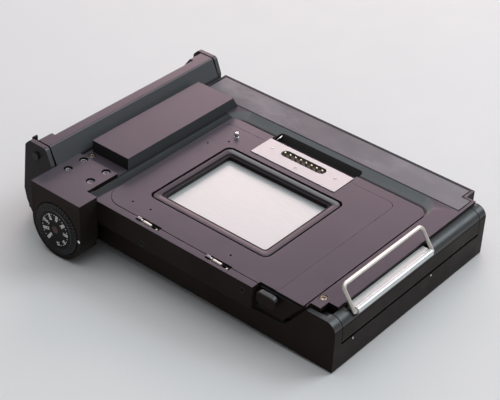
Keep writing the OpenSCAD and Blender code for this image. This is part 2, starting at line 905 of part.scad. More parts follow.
// The insulating block that holds the contact pins
module contact_block() {
    color([0.16, 0.14, 0.10]) seat() difference() {
        contact_block_form(0, contact_z - contact_t);
        for (i = [0 : pin_count - 1]) {
            rod_z(contact_pin_x(i), slot_y, -8, 1, pin_r + running_fit);
            rod_z(contact_pin_x(i), slot_y, contact_low, -2, pin_r + 0.4);
        }
    }
}

module contact_block_form(grow, top) {
    half = slot_l / 2 + 2.7 + grow;
    box(pin_x - half, pin_x + half, slot_y - slot_r - 0.7 - grow, slot_y + slot_r + 0.5 + grow,
        contact_low, top);
}

function contact_pin_x(i) = pin_x + (i - (pin_count - 1) / 2) * pin_pitch;

module contact_pins() {
    color([0.86, 0.68, 0.30]) seat() for (i = [0 : pin_count - 1]) {
        rod_z(contact_pin_x(i), slot_y, -5.5, pin_h - 0.2, pin_r);
        translate([contact_pin_x(i), slot_y, pin_h - 0.2])
            cylinder(r1 = pin_r, r2 = pin_r - 0.2, h = 0.2);
        rod_z(contact_pin_x(i), slot_y, -5.5, -4.9, pin_r + 0.3);
    }
}

module contact_springs() {
    color([0.70, 0.71, 0.73]) seat() for (i = [0 : pin_count - 1]) difference() {
        rod_z(contact_pin_x(i), slot_y, contact_low + 0.8, -5.5, pin_r + 0.3);
        rod_z(contact_pin_x(i), slot_y, contact_low, -5, pin_r);
    }
}

// Bright steel hooks that the camera's latches catch
module latch_catches() {
    color([0.82, 0.82, 0.84]) seat() for (x = catch_x) {
        y0 = -near_y + 1.8;
        box(x - catch_l / 2 + 0.6, x + catch_l / 2 - 0.6, y0 + 0.2, y0 + 2.2, -pocket_z, -pocket_z + 0.6);
        box(x - catch_l / 2 + 1.2, x - 0.6, y0 + 0.2, y0 + 0.9, -pocket_z, -0.4);
        box(x + 1, x + catch_l / 2 - 1.2, y0 + 0.2, y0 + 0.9, -pocket_z, -0.4);
    }
}

// Dark slide

module dark_slide() {
    hem_half = handle_w / 2 - wire_r - 0.35;
    color([0.85, 0.85, 0.84]) seat() difference() {
        union() {
            box(slide_left, right_x + 1, -slide_w / 2, slide_w / 2, slide_low, -slide_z);
            box(right_x + 0.3, wire_x, -hem_half, hem_half, slide_low, -slide_z + 2);
            rod_y(wire_x, wire_z, -hem_half, hem_half, hem_r);
        }
        rod_y(wire_x, wire_z, -hem_half - 1, hem_half + 1, wire_r + running_fit);
    }
}

// Bent wire loop that stands up at the end of the slide
module slide_handle() {
    bend = 2.2;
    half = handle_w / 2;
    color([0.86, 0.86, 0.86]) seat()
        translate([wire_x, 0, wire_z]) rotate([0, -handle_lean, 0]) {
            rod_y(0, 0, -half, half, wire_r);
            rod_y(0, handle_h, -half + bend, half - bend, wire_r);
            for (flip = [0, 1]) mirror([0, flip, 0]) {
                translate([0, half, 0]) sphere(r = wire_r);
                translate([0, half, 0]) cylinder(r = wire_r, h = handle_h - bend);
                translate([0, half - bend, handle_h - bend]) quarter_bend(bend, wire_r);
            }
        }
}

// Quarter of a ring, from +Y round to +Z
module quarter_bend(r, thick) {
    rotate([90, 0, 90]) rotate_extrude(angle = 90) translate([r, 0]) circle(r = thick);
}

// Felt strips over and under the sheet keep light out of the gate
module slide_light_trap() {
    color([0.08, 0.08, 0.08]) seat() trap_strips();
}

module trap_strips() {
    for (z = [-slide_z + slide_fit, slide_low - slide_fit - trap_t]) {
        box(trap_x, trap_x + trap_l, -slide_w / 2 - slide_fit, slide_w / 2 + slide_fit, z, z + trap_t);
    }
}

// Release button

module button_bore() {
    rod_y(button_x, button_z, lip_y - 1, lip_y + 10, button_r + running_fit);
}

module release_button() {
    color([0.12, 0.12, 0.13]) seat() {
        along_y(lip_y - 4.1, lip_y - 1.5) button_face();
        rod_y(button_x, button_z, lip_y - 3, lip_y + 6, button_r);
    }
}

module button_face() {
    round_rect(button_x - button_l / 2, button_x + button_l / 2, button_z - button_w / 2,
        button_z + button_w / 2, button_w / 2 - 0.6);
}

module release_spring() {
    color([0.70, 0.71, 0.73]) seat() difference() {
        rod_y(button_x, button_z, lip_y + 6, lip_y + 8, button_r);
        rod_y(button_x, button_z, lip_y + 5, lip_y + 9, button_r - 0.5);
    }
}

// Raised blocks

module raised_block() {
    x1 = bank_left - 1.1;
    y0 = -19.6;
    slope = 3.6;
    color([0.17, 0.15, 0.17]) seat() difference() {
        box(x1 - block_w, x1, y0, y0 + block_l + slope, rim_z, rim_z + block_h);
        translate([0, y0 + block_l, rim_z + block_h]) rotate([-59, 0, 0])
            box(-100, 0, 0, 20, 0, 20);
    }
}

// Its foot is screwed down on the holder and its front carries the dial
module dial_housing() {
    front = dial_box_near;
    back = side_near;
    cup = dial_t - dial_out;
    color([0.14, 0.13, 0.14]) seat() difference() {
        union() {
            box(dial_box_left, dial_box_right, front, back, -dial_z, dial_box_h);
            rod_y(dial_x, -dial_z, front, back, dial_box_w / 2);
            box(dial_box_left, foot_right, back - 1, foot_far, -adapter_h, dial_box_h);
        }
        box(foot_right, dial_box_right + 1, -near_y, foot_far, -dial_z - dial_box_w, dial_box_h + 1);
        rod_y(dial_x, -dial_z, front - 1, front + cup, dial_r + air);
        rod_y(dial_x, -dial_z, front, front + 9, shaft_r + running_fit);
        for (spot = housing_screw_spots()) {
            rod_z(spot[0], spot[1], dial_box_h - 1, dial_box_h + 1, 2);
            rod_z(spot[0], spot[1], -8, dial_box_h + 1, 1 + seam);
        }
        rod_y(dot_x, -dial_z, dial_box_near - 1, dial_box_near + 0.6, dot_r);
    }
}

module index_dot() {
    color([0.92, 0.92, 0.90]) seat()
        rod_y(dot_x, -dial_z, dial_box_near - 0.05, dial_box_near + 0.6, dot_r);
}

module film_speed_dial() {
    front = dial_box_near - dial_out;
    back = front + dial_t - 0.3;
    rib_r = 0.42;
    color([0.11, 0.11, 0.12]) seat() {
        rod_y(dial_x, -dial_z, front, back, dial_r - 3);
        rod_y(dial_x, -dial_z, front + 0.7, back, dial_r - 0.3);
        rod_y(dial_x, -dial_z, back - 1, back + 6, shaft_r);
        for (i = [0 : dial_ribs - 1]) {
            translate([dial_x, front + 0.8, -dial_z]) rotate([0, i * 360 / dial_ribs, 0])
                translate([dial_r - 3.2, -0.4, -rib_r]) cube([3.2, 1, 2 * rib_r]);
        }
    }
}

// Screws

function housing_screw_spots() = [[-70.5, -28.6], [-70.5, -38.1], [-56.6, -28.6], [-56.6, -38.1]];

function side_screw_spots() = [[-19.7, -9.3], [35.5, -4.2]];

module housing_screws() {
    color([0.30, 0.30, 0.32]) seat() for (spot = housing_screw_spots()) {
        difference() {
            union() {
                rod_z(spot[0], spot[1], dial_box_h - 1, dial_box_h - 0.1, 1.7);
                rod_z(spot[0], spot[1], -7.9, dial_box_h - 0.5, 1);
            }
            rod_z(spot[0], spot[1], dial_box_h - 0.7, dial_box_h + 1, 0.7);
        }
    }
}

function top_screw_spots() = [plate_screw_spot, corner_screw_spot];

module plate_screw() {
    color([0.45, 0.45, 0.47]) seat() for (spot = top_screw_spots()) {
        rod_z(spot[0], spot[1], rim_z - 1.5, rim_z - 0.1, screw_r);
        rod_z(spot[0], spot[1], plate_screw_low, 0, thread_r);
    }
}

module side_screws() {
    color([0.40, 0.40, 0.42]) seat() for (spot = side_screw_spots()) {
        translate([spot[0], -near_y, spot[1]]) rotate([-90, 0, 0]) {
            translate([0, 0, 0.1]) cylinder(r = screw_r, h = 0.5);
            cylinder(r = thread_r, h = 2.9);
        }
    }
}

holder_body();
film_door();
door_hinge_pin();
pack_springs();
film_mask();
roller_housing();
roller_bracket();
upper_roller();
lower_roller();
locking_yoke();
yoke_rivets();
interface_frame();
interface_plate();
gate_bezel();
locating_pin();
contact_plate();
contact_rivets();
contact_block();
contact_pins();
contact_springs();
latch_catches();
dark_slide();
slide_handle();
slide_light_trap();
release_button();
release_spring();
side_strip();
raised_block();
dial_housing();
film_speed_dial();
index_dot();
housing_screws();
plate_screw();
side_screws();
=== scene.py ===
import bpy
import json
import math
from mathutils import Matrix, Vector

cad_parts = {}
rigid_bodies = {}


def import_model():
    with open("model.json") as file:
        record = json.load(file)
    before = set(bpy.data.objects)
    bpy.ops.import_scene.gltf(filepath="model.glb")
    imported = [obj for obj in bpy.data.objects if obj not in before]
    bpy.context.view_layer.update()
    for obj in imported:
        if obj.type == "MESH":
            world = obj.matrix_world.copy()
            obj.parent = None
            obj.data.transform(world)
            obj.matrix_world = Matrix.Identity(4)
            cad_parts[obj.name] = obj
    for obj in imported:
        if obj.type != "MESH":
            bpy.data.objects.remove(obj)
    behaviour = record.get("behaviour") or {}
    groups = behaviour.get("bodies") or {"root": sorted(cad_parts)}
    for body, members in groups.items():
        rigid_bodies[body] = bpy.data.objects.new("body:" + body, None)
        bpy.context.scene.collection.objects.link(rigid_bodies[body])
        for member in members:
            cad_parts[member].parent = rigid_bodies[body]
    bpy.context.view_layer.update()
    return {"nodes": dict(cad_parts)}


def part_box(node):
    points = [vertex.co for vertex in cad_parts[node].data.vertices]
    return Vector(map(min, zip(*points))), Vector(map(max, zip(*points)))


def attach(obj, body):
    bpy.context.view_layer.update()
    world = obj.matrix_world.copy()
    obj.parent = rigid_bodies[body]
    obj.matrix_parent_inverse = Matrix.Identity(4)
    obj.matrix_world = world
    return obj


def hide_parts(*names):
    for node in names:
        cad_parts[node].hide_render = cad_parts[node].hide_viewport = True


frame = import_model()
node = frame["nodes"]

# Lengths below are millimetres from the middle of the image gate, on the plate that meets the camera.
# X runs towards the slide's handle, Y towards the worn strip and Z out of the plate.
MM = 0.001
CENTRE = Vector((7.35, -8.35, 31.5))


def at(x, y, z):
    """A place on the film back, in metres."""
    return (Vector((x, y, z)) + CENTRE) * MM


# Camera, floor and lights

def place_camera():
    """The photograph's view, worked out from the gate's corners and the long edges."""
    tilt, swing, lean = 0.613649, 0.672213, -0.048351
    distance, aside, lower = 629.995, 1.3882, 0.2379
    focal_length, photo_width = 1462.08, 500.0
    sensor_width = 36.0
    away = Vector((-math.sin(swing) * math.cos(tilt),
                   math.cos(swing) * math.cos(tilt),
                   -math.sin(tilt)))
    level = Vector((math.cos(swing), math.sin(swing), 0.0))
    below = away.cross(level)
    right = level * math.cos(lean) + below * math.sin(lean)
    down = -level * math.sin(lean) + below * math.cos(lean)
    spot = -away * distance + right * aside + down * lower
    lens = bpy.data.cameras.new("photo_view")
    lens.sensor_width = sensor_width
    lens.lens = focal_length / photo_width * sensor_width
    lens.clip_start = 0.01
    lens.clip_end = 20.0
    holder = bpy.data.objects.new("photo_view", lens)
    turn = Matrix((right, -down, -away)).transposed().to_4x4()
    holder.matrix_world = Matrix.Translation(at(*spot)) @ turn
    bpy.context.scene.collection.objects.link(holder)
    bpy.context.scene.camera = holder


def rest_level(x, y):
    """Height of the floor under the back, which rests on its roller end, dial housing and hinge."""
    rise_along_x, rise_along_y = 0.0401, 0.00554
    depth_below_gate = 28.85
    return rise_along_x * x + rise_along_y * y - depth_below_gate


def lay_floor():
    """A wide floor that the film back rests on."""
    reach = 6000
    corners = [(-reach, -reach), (reach, -reach), (reach, reach), (-reach, reach)]
    mesh = bpy.data.meshes.new("floor")
    mesh.from_pydata([at(x, y, rest_level(x, y)) for x, y in corners], [], [(0, 1, 2, 3)])
    floor = bpy.data.objects.new("floor", mesh)
    bpy.context.scene.collection.objects.link(floor)
    floor.data.materials.append(pale_floor())


def lamp(name, spot, size, power, tint):
    """A soft panel at a place in metres, aimed at the film back."""
    spot = Vector(spot)
    aim = Vector((0.0, 0.0, 0.02))
    light = bpy.data.lights.new(name, "AREA")
    light.shape = "RECTANGLE"
    light.size = size[0]
    light.size_y = size[1]
    light.energy = power
    light.color = tint
    holder = bpy.data.objects.new(name, light)
    holder.location = spot
    holder.rotation_euler = (aim - spot).to_track_quat("-Z", "Y").to_euler()
    bpy.context.scene.collection.objects.link(holder)


def pale_backdrop(world):
    """Shows the camera a pale wall beyond the floor, without more light on the film back."""
    nodes = world.node_tree.nodes
    links = world.node_tree.links
    wall = nodes.new("ShaderNodeBackground")
    wall.inputs["Color"].default_value = (0.60, 0.60, 0.60, 1.0)
    ray = nodes.new("ShaderNodeLightPath")
    mix = nodes.new("ShaderNodeMixShader")
    links.new(ray.outputs["Is Camera Ray"], mix.inputs[0])
    links.new(nodes["Background"].outputs[0], mix.inputs[1])
    links.new(wall.outputs[0], mix.inputs[2])
    links.new(mix.outputs[0], nodes["World Output"].inputs["Surface"])


def light_the_studio():
    """Soft daylight from above, and a low warm panel on the far left that the flat tops mirror."""
    world = bpy.data.worlds.new("studio")
    bpy.context.scene.world = world
    world.use_nodes = True
    sky = world.node_tree.nodes["Background"]
    sky.inputs["Color"].default_value = (0.92, 0.95, 1.0, 1.0)
    sky.inputs["Strength"].default_value = 0.25
    pale_backdrop(world)
    lamp("low_panel", spot=(-1.04, 1.60, 0.71), size=(1.3, 0.8), power=14.5, tint=(1.0, 0.77, 0.78))
    lamp("top_panel", spot=(-0.15, 0.15, 1.8), size=(2.0, 2.0), power=15.0, tint=(0.94, 0.98, 1.0))
    lamp("side_panel", spot=(0.62, 1.0, 1.08), size=(0.8, 0.8), power=9.5, tint=(0.90, 0.96, 1.0))
    bpy.context.scene.view_settings.view_transform = "Standard"


# Materials

# MAUVE and GREEN_GREY are painted reflections on flat tops and on faces tipped away; NEAR_BLACK and
# RIGHT_GREY on upright faces on the near side and at the handle's end.
MAUVE = (0.088, 0.072, 0.090)
GREEN_GREY = (0.040, 0.046, 0.045)
NEAR_BLACK = (0.010, 0.006, 0.005)
RIGHT_GREY = (0.018, 0.014, 0.013)
# The next tint is painted shade in the left cove, and a darker tone on the far and left rims.
RIM_GREY = (0.030, 0.032, 0.033)
# The next tint is painted shade on the lip down in the gate and on the far cove's gate side.
LIP_SHADE_BLACK = (0.030, 0.026, 0.028)
# The next tint is a painted highlight on the bevels above the roller bar's slanted face.
EDGE_HIGHLIGHT_GREY = (0.16, 0.165, 0.17)

# Tints of the light that the black finishes mirror
ROSE = (1.0, 0.75, 0.87)
BROWN = (1.0, 0.75, 0.62)
COOL = (0.90, 0.93, 1.0)


def shade(tint, amount):
    """A lighter or darker tone of a tint."""
    return tuple(part * amount for part in tint)


class Finish:
    """Nodes of one material, laid on the piece's own coordinates. Noise scales are waves per metre."""

    def __init__(self, name):
        self.material = bpy.data.materials.new(name)
        self.material.use_nodes = True
        self.nodes = self.material.node_tree.nodes
        self.links = self.material.node_tree.links
        self.surface = self.nodes["Principled BSDF"]
        self.place = self.nodes.new("ShaderNodeTexCoord")

    def set(self, **values):
        """Sets constant numbers on the shader, with an underscore for each space in a label."""
        for label, value in values.items():
            self.surface.inputs[label.replace("_", " ")].default_value = value

    def mirrors(self, gloss, tint):
        """How much of the studio the finish mirrors, and in which tint."""
        self.set(Specular_IOR_Level=gloss, Specular_Tint=(*tint, 1.0))

    def join(self, out, into):
        self.links.new(out, into)

    def stretched(self, scale, turn=0.0):
        """The piece's coordinates, drawn out along an axis and turned about Z."""
        mapping = self.nodes.new("ShaderNodeMapping")
        mapping.inputs["Scale"].default_value = scale
        mapping.inputs["Rotation"].default_value = (0.0, 0.0, turn)
        self.join(self.place.outputs["Object"], mapping.inputs["Vector"])
        return mapping.outputs["Vector"]

    def noise(self, scale, detail=3.0, rough=0.55, vector=None):
        """Even noise, over the piece's coordinates if no others are given."""
        texture = self.nodes.new("ShaderNodeTexNoise")
        texture.inputs["Scale"].default_value = scale
        texture.inputs["Detail"].default_value = detail
        texture.inputs["Roughness"].default_value = rough
        self.join(vector or self.place.outputs["Object"], texture.inputs["Vector"])
        return texture.outputs["Fac"]

    def spread(self, value, low, high, to_low=0.0, to_high=1.0):
        """Maps a range of a value smoothly to another range."""
        span = self.nodes.new("ShaderNodeMapRange")
        span.interpolation_type = "SMOOTHSTEP"
        limits = {"From Min": low, "From Max": high, "To Min": to_low, "To Max": to_high}
        for label, number in limits.items():
            span.inputs[label].default_value = number
        self.join(value, span.inputs["Value"])
        return span.outputs["Result"]

    def clouds(self, scale, detail=4.0):
        """Soft patches, from nothing to one."""
        return self.spread(self.noise(scale, detail), 0.3, 0.7)

    def blend(self, factor, one, two):
        """The first colour where the factor is nothing, the second where it is one."""
        mix = self.nodes.new("ShaderNodeMix")
        mix.data_type = "RGBA"
        self.join(factor, mix.inputs["Factor"])
        colour_a, colour_b, result = 6, 7, 2
        for socket, colour in ((colour_a, one), (colour_b, two)):
            if isinstance(colour, tuple):
                mix.inputs[socket].default_value = (*colour, 1.0)
            else:
                self.join(colour, mix.inputs[socket])
        return mix.outputs[result]

    def times(self, one, two):
        """A value times another value or a plain number."""
        maths = self.nodes.new("ShaderNodeMath")
        maths.operation = "MULTIPLY"
        self.join(one, maths.inputs[0])
        if isinstance(two, float):
            maths.inputs[1].default_value = two
        else:
            self.join(two, maths.inputs[1])
        return maths.outputs[0]

    def along(self, axis):
        """The place along an axis of the piece, in metres."""
        parts = self.nodes.new("ShaderNodeSeparateXYZ")
        self.join(self.place.outputs["Object"], parts.inputs["Vector"])
        return parts.outputs[axis]

    def facing(self, axis, low, high):
        """One where the surface faces along an axis of the piece, fading to nothing across it."""
        parts = self.nodes.new("ShaderNodeSeparateXYZ")
        self.join(self.place.outputs["Normal"], parts.inputs["Vector"])
        return self.spread(parts.outputs[axis], low, high)

    def soft_edge(self, width):
        """Surface directions as if the hard edges were rounded."""
        rounding = self.nodes.new("ShaderNodeBevel")
        rounding.samples = 6
        rounding.inputs["Radius"].default_value = width * MM
        return rounding.outputs["Normal"]

    def near_edges(self, width, amount):
        """The amount along hard edges, fading to nothing on the flats."""
        full_turn, no_turn = 0.80, 0.99
        turned = self.nodes.new("ShaderNodeVectorMath")
        turned.operation = "DOT_PRODUCT"
        flat = self.nodes.new("ShaderNodeNewGeometry")
        self.join(self.soft_edge(width), turned.inputs[0])
        self.join(flat.outputs["Normal"], turned.inputs[1])
        return self.spread(turned.outputs["Value"], full_turn, no_turn, to_low=amount, to_high=0.0)

    def worn_edges(self, width, amount):
        """The amount along hard edges, broken up unevenly, for edges lightened as worn paint and as
        painted highlight.
        """
        patchy = self.spread(self.noise(320.0), 0.32, 0.62)
        return self.times(self.near_edges(width, amount), patchy)

    def colour(self, value):
        self.join(value, self.surface.inputs["Base Color"])

    def roughness(self, value, low, high):
        """Roughness that follows a noise between two limits."""
        self.join(self.spread(value, 0.3, 0.7, low, high), self.surface.inputs["Roughness"])

    def relief(self, value, depth, strength, edge=0.0):
        """Fine relief of a depth in millimetres, over softened edges where a width is given."""
        bump = self.nodes.new("ShaderNodeBump")
        bump.inputs["Distance"].default_value = depth * MM
        bump.inputs["Strength"].default_value = strength
        self.join(value, bump.inputs["Height"])
        if edge:
            self.join(self.soft_edge(edge), bump.inputs["Normal"])
        self.join(bump.outputs["Normal"], self.surface.inputs["Normal"])

    def satin_skin(self, rough, edge=0.0):
        """Uneven satin with a very fine grain."""
        haze, grain = 90.0, 2600.0
        self.roughness(self.noise(haze), *rough)
        self.relief(self.noise(grain, detail=2.0), depth=0.010, strength=0.35, edge=edge)

    def moulded_skin(self, rough, depth, edge, strength=0.4):
        """Duller skin with a coarser grain."""
        haze, grain = 120.0, 1700.0
        self.roughness(self.noise(haze), *rough)
        self.relief(self.noise(grain), depth, strength, edge)


def pale_floor():
    """Even, nearly matt pale grey."""
    f = Finish("pale_floor")
    f.colour(f.blend(f.clouds(3.0, 3.0), (0.80, 0.79, 0.78), (0.83, 0.82, 0.81)))
    f.roughness(f.noise(60.0), 0.55, 0.65)
    f.set(Specular_IOR_Level=0.3)
    return f.material


def satin_top(name, top, slope=None, rough=(0.29, 0.32), edge=0.25, gloss=0.5, sheen=ROSE):
    """Satin of the upper faces: a painted reflection of one tint on the flats, rubbed in places, and of
    another where they tip away.
    """
    f = Finish(name)
    darker, rubbed, worn = shade(top, 0.90), shade(top, 1.4), shade(top, 2.2)
    flat = f.blend(f.clouds(38.0), darker, top)
    rub = f.times(f.spread(f.noise(150.0, 5.0, 0.7), 0.62, 0.85), 0.15)
    # Painted reflection: one tint on the flats, another on faces tipped away from up.
    tipped = f.blend(f.facing("Z", 0.88, 0.985), slope or top, f.blend(rub, flat, rubbed))
    # Edges lightened as worn paint and as painted highlight.
    f.colour(f.blend(f.worn_edges(edge, 0.55), tipped, worn))
    f.satin_skin(rough, edge)
    f.mirrors(gloss, sheen)
    return f.material


def sloping_bank():
    """Satin of the sloped bank in a painted grey-green reflection, with painted shade in black along its
    foot where it drops below the plate.
    """
    f = Finish("sloping_bank")
    foot = at(0, 0, -0.85).z
    fade = 0.25 * MM
    black = (0.0, 0.0, 0.0)
    green_grey = f.blend(f.clouds(38.0), (0.088, 0.098, 0.098), (0.098, 0.108, 0.108))
    # Painted shade: black on the bank below a set height, along its foot.
    f.colour(f.blend(f.spread(f.along("Z"), foot, foot + fade), black, green_grey))
    f.satin_skin((0.36, 0.42))
    f.mirrors(0.42, COOL)
    return f.material


def shaded_cove():
    """Satin of the bezel's far side: a painted grey-green reflection along its rim, fading to painted
    shade towards the gate.
    """
    f = Finish("far_cove")
    gate_side, rim_side = at(0, 22.0, 0).y, at(0, 25.0, 0).y
    rim_reflection_tone = (0.19, 0.195, 0.198)
    # Painted shade near the gate, painted reflection towards the rim.
    f.colour(f.blend(f.spread(f.along("Y"), gate_side, rim_side), LIP_SHADE_BLACK, rim_reflection_tone))
    f.satin_skin((0.36, 0.42))
    f.mirrors(0.25, COOL)
    return f.material


def dull_wall(name, near, right):
    """Dull black of the upright faces, with a painted reflection of one tint on the near side and of
    another at the handle's end.
    """
    f = Finish(name)
    edge = 0.25
    dust, worn = (0.05, 0.045, 0.042), (0.09, 0.08, 0.08)
    # Painted reflection: faces towards the handle's end take the second tint, the others the first.
    side = f.blend(f.facing("X", 0.2, 0.8), near, right)
    dusty = f.blend(f.times(f.clouds(60.0), 0.12), side, dust)
    # Edges lightened as worn paint and as painted highlight.
    f.colour(f.blend(f.worn_edges(edge, 0.35), dusty, worn))
    f.moulded_skin((0.42, 0.52), depth=0.02, edge=edge)
    f.mirrors(0.10, BROWN)
    return f.material


def moulded_black(name, tint, rough=(0.42, 0.55), depth=0.03, edge=0.3, gloss=0.2):
    """Moulded black plastic with a fine grain."""
    f = Finish(name)
    f.colour(f.blend(f.spread(f.noise(45.0, 4.0), 0.35, 0.75), tint, shade(tint, 1.3)))
    f.moulded_skin(rough, depth, edge)
    f.set(Specular_IOR_Level=gloss)
    return f.material


def metal(name, tint, rough=(0.22, 0.34), brushing=(60.0, 2400.0, 2400.0), scratch=0.002, bare=1.0):
    """Bare metal with fine brushing along one way."""
    f = Finish(name)
    streak = f.noise(1.0, 2.0, 0.5, f.stretched(brushing))
    f.colour(f.blend(f.spread(streak, 0.3, 0.7), shade(tint, 0.95), tint))
    f.roughness(streak, *rough)
    f.relief(streak, scratch, strength=0.2, edge=0.12)
    f.set(Metallic=bare)
    return f.material


def worn_strip():
    """Grey covering with rubbed patches and faint smears, paler towards the handle's end."""
    f = Finish("worn_grey")
    patch = f.spread(f.noise(26.0, 5.0, 0.62, f.stretched((1.0, 1.8, 1.0))), 0.42, 0.68)
    base = f.blend(patch, (0.125, 0.115, 0.13), (0.205, 0.19, 0.205))
    pale_end = f.times(f.spread(f.along("X"), -0.02, 0.085), 0.4)
    paler_end_base = f.blend(pale_end, base, (0.27, 0.265, 0.285))
    smear = f.spread(f.noise(1.0, 4.0, 0.7, f.stretched((60.0, 380.0, 200.0), 0.25)), 0.60, 0.78)
    f.colour(f.blend(f.times(smear, 0.5), paler_end_base, (0.29, 0.28, 0.29)))
    f.roughness(f.noise(70.0, 4.0), 0.40, 0.55)
    f.relief(f.noise(900.0), depth=0.015, strength=0.35, edge=0.2)
    f.set(Specular_IOR_Level=0.35)
    return f.material


def flat_tone(name, tint, rough=0.6, depth=0.02, gloss=0.5):
    """One even tone with a faint mottle, for paint, felt, resin and dark lines."""
    f = Finish(name)
    f.colour(f.blend(f.clouds(200.0, 3.0), tint, shade(tint, 1.2)))
    f.roughness(f.noise(300.0, 2.0), rough - 0.05, rough + 0.05)
    f.relief(f.noise(2500.0, 2.0), depth, strength=0.3)
    f.set(Specular_IOR_Level=gloss)
    return f.material


def ribbed_black():
    """Black plastic of the dial, with painted highlights where its ribs face up or towards the handle's
    end, and painted shade in its grooves.
    """
    f = Finish("dial_rim")
    groove_top, groove_foot = at(0, -55.75, 0).y, at(0, -55.4, 0).y
    groove_shade = f.spread(f.along("Y"), groove_top, groove_foot)
    light = (0.17, 0.175, 0.18)
    rib = f.blend(f.clouds(60.0, 3.0), (0.010, 0.009, 0.009), (0.015, 0.014, 0.014))
    # Painted highlight on rib faces that look up or towards the handle's end.
    lit_above = f.blend(f.facing("Z", 0.3, 0.8), rib, light)
    lit = f.blend(f.facing("X", 0.3, 0.8), lit_above, light)
    # Painted shade: near black down in the grooves.
    f.colour(f.blend(groove_shade, lit, (0.002, 0.002, 0.002)))
    f.moulded_skin((0.30, 0.40), depth=0.01, edge=0.12, strength=0.3)
    f.set(Specular_IOR_Level=0.12)
    return f.material


frame_top = satin_top("frame_top", MAUVE, GREEN_GREY)
frame_wall = dull_wall("frame_wall", NEAR_BLACK, RIGHT_GREY)
frame_dark = satin_top("frame_dark", RIM_GREY,
                       rough=(0.4, 0.5), edge=0.15, gloss=0.15, sheen=(0.9, 0.95, 1.0))
bezel_top = satin_top("bezel_top", shade(MAUVE, 0.75), GREEN_GREY,
                      rough=(0.32, 0.38), edge=0.15, gloss=0.38)
# Painted shade on the lip that steps down into the gate.
gate_lip = satin_top("gate_lip", LIP_SHADE_BLACK, rough=(0.40, 0.48), edge=0.12, gloss=0.04)
far_cove = shaded_cove()
bank = sloping_bank()
# Painted light: grey pit walls, lighter than the black around them, for light falling into the pit.
pit_wall = dull_wall("pit_wall", (0.11, 0.11, 0.105), (0.06, 0.06, 0.06))
block_top = satin_top("block_top", shade(MAUVE, 0.85), GREEN_GREY, gloss=0.42)
bar_top = satin_top("bar_top", shade(MAUVE, 0.8), (0.084, 0.092, 0.094), gloss=0.42)
# Painted highlight for the bevels that face up and towards the handle's end.
light_edge = satin_top("light_edge", EDGE_HIGHLIGHT_GREY, rough=(0.3, 0.4), edge=0.1)
# Painted reflection: the block's faces towards the handle's end are lighter.
block_wall = dull_wall("block_wall", (0.026, 0.026, 0.027), (0.082, 0.084, 0.088))
shell_top = satin_top("shell_top", (0.060, 0.060, 0.063), (0.045, 0.046, 0.048),
                      rough=(0.30, 0.38), sheen=(0.92, 0.97, 1.0))
shell_wall = dull_wall("shell_wall", NEAR_BLACK, RIGHT_GREY)
inner_black = moulded_black("inner_black", (0.03, 0.032, 0.032))
stainless = metal("stainless", (0.71, 0.725, 0.72),
                  rough=(0.34, 0.35), brushing=(200.0, 3000.0, 3000.0), scratch=0.0004, bare=0.5)
wire_steel = metal("wire_steel", (0.86, 0.80, 0.74), rough=(0.42, 0.5))
spring_steel = metal("spring_steel", (0.55, 0.55, 0.56), rough=(0.3, 0.42))
bright_steel = metal("bright_steel", (0.88, 0.88, 0.87), rough=(0.10, 0.2))
pale_plate = metal("pale_plate", (0.53, 0.535, 0.54),
                   rough=(0.42, 0.52), brushing=(2400.0, 60.0, 2400.0))
gilt = metal("gilt", (0.95, 0.82, 0.56), rough=(0.2, 0.3))
screw_black = metal("screw_black", (0.40, 0.38, 0.40), rough=(0.22, 0.32))
screw_steel = metal("screw_steel", (0.40, 0.34, 0.28), rough=(0.2, 0.32))
screw_dull = moulded_black("screw_dull", (0.02, 0.018, 0.017), rough=(0.4, 0.5))
resin = flat_tone("contact_resin", (0.016, 0.012, 0.009), rough=0.5)
felt = flat_tone("felt", (0.02, 0.02, 0.02), rough=0.9, depth=0.06)
# Painted shade: near black for the screw sinks' floors, the faces inside the door's seam and the strip's
# border.
outline_black = flat_tone("outline_black", (0.008, 0.006, 0.007), rough=0.55, gloss=0.08)
white_paint = flat_tone("white_paint", (0.80, 0.78, 0.75), rough=0.5)
red_paint = flat_tone("red_paint", (0.05, 0.014, 0.010), rough=0.5)
dial_rim = ribbed_black()
dial_face = moulded_black("dial_face", (0.006, 0.005, 0.005),
                          rough=(0.45, 0.55), depth=0.01, edge=0.12, gloss=0.12)


def paint(names, material):
    """Gives CAD parts that are shown as they are their finish."""
    for name in names.split():
        mesh = node[name].data
        mesh.materials.clear()
        mesh.materials.append(material)


# Making tools

def pick(piece):
    """Selects one piece alone."""
    bpy.ops.object.select_all(action="DESELECT")
    piece.select_set(True)
    bpy.context.view_layer.objects.active = piece


def smooth_rounds(angle=30.0):
    """Shades the picked piece smooth, and leaves its hard edges."""
    bpy.ops.object.shade_smooth_by_angle(angle=math.radians(angle))


def break_edges(piece, width, segments=2, angle=35.0, rim=-1):
    """Bevels the hard edges and shades the rest smooth; rim is the material slot of the bevels."""
    pick(piece)
    edge = piece.modifiers.new("broken_edges", "BEVEL")
    edge.width = width * MM
    edge.segments = segments
    edge.limit_method = "ANGLE"
    edge.angle_limit = math.radians(angle)
    edge.material = rim
    bpy.ops.object.modifier_apply(modifier=edge.name)
    smooth_rounds(angle)
    flats = piece.modifiers.new("flats", "WEIGHTED_NORMAL")
    flats.keep_sharp = True
    bpy.ops.object.modifier_apply(modifier=flats.name)


def dress(piece, body, top, wall=None, rim=None):
    """Gives a piece its body and its finish.

    The faces that don't look up take the second material, and the bevels above a slope the third.
    """
    upward, rightward = 0.3, 0.1
    bevels = [rim is not None and face.material_index == 2
              and face.normal.x > rightward and face.normal.z > upward
              for face in piece.data.polygons]
    piece.data.materials.clear()
    for material in filter(None, (top, wall, rim)):
        piece.data.materials.append(material)
    for face, bevel in zip(piece.data.polygons, bevels):
        face.material_index = 2 if bevel else 1 if wall and face.normal.z < upward else 0
    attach(piece, body)


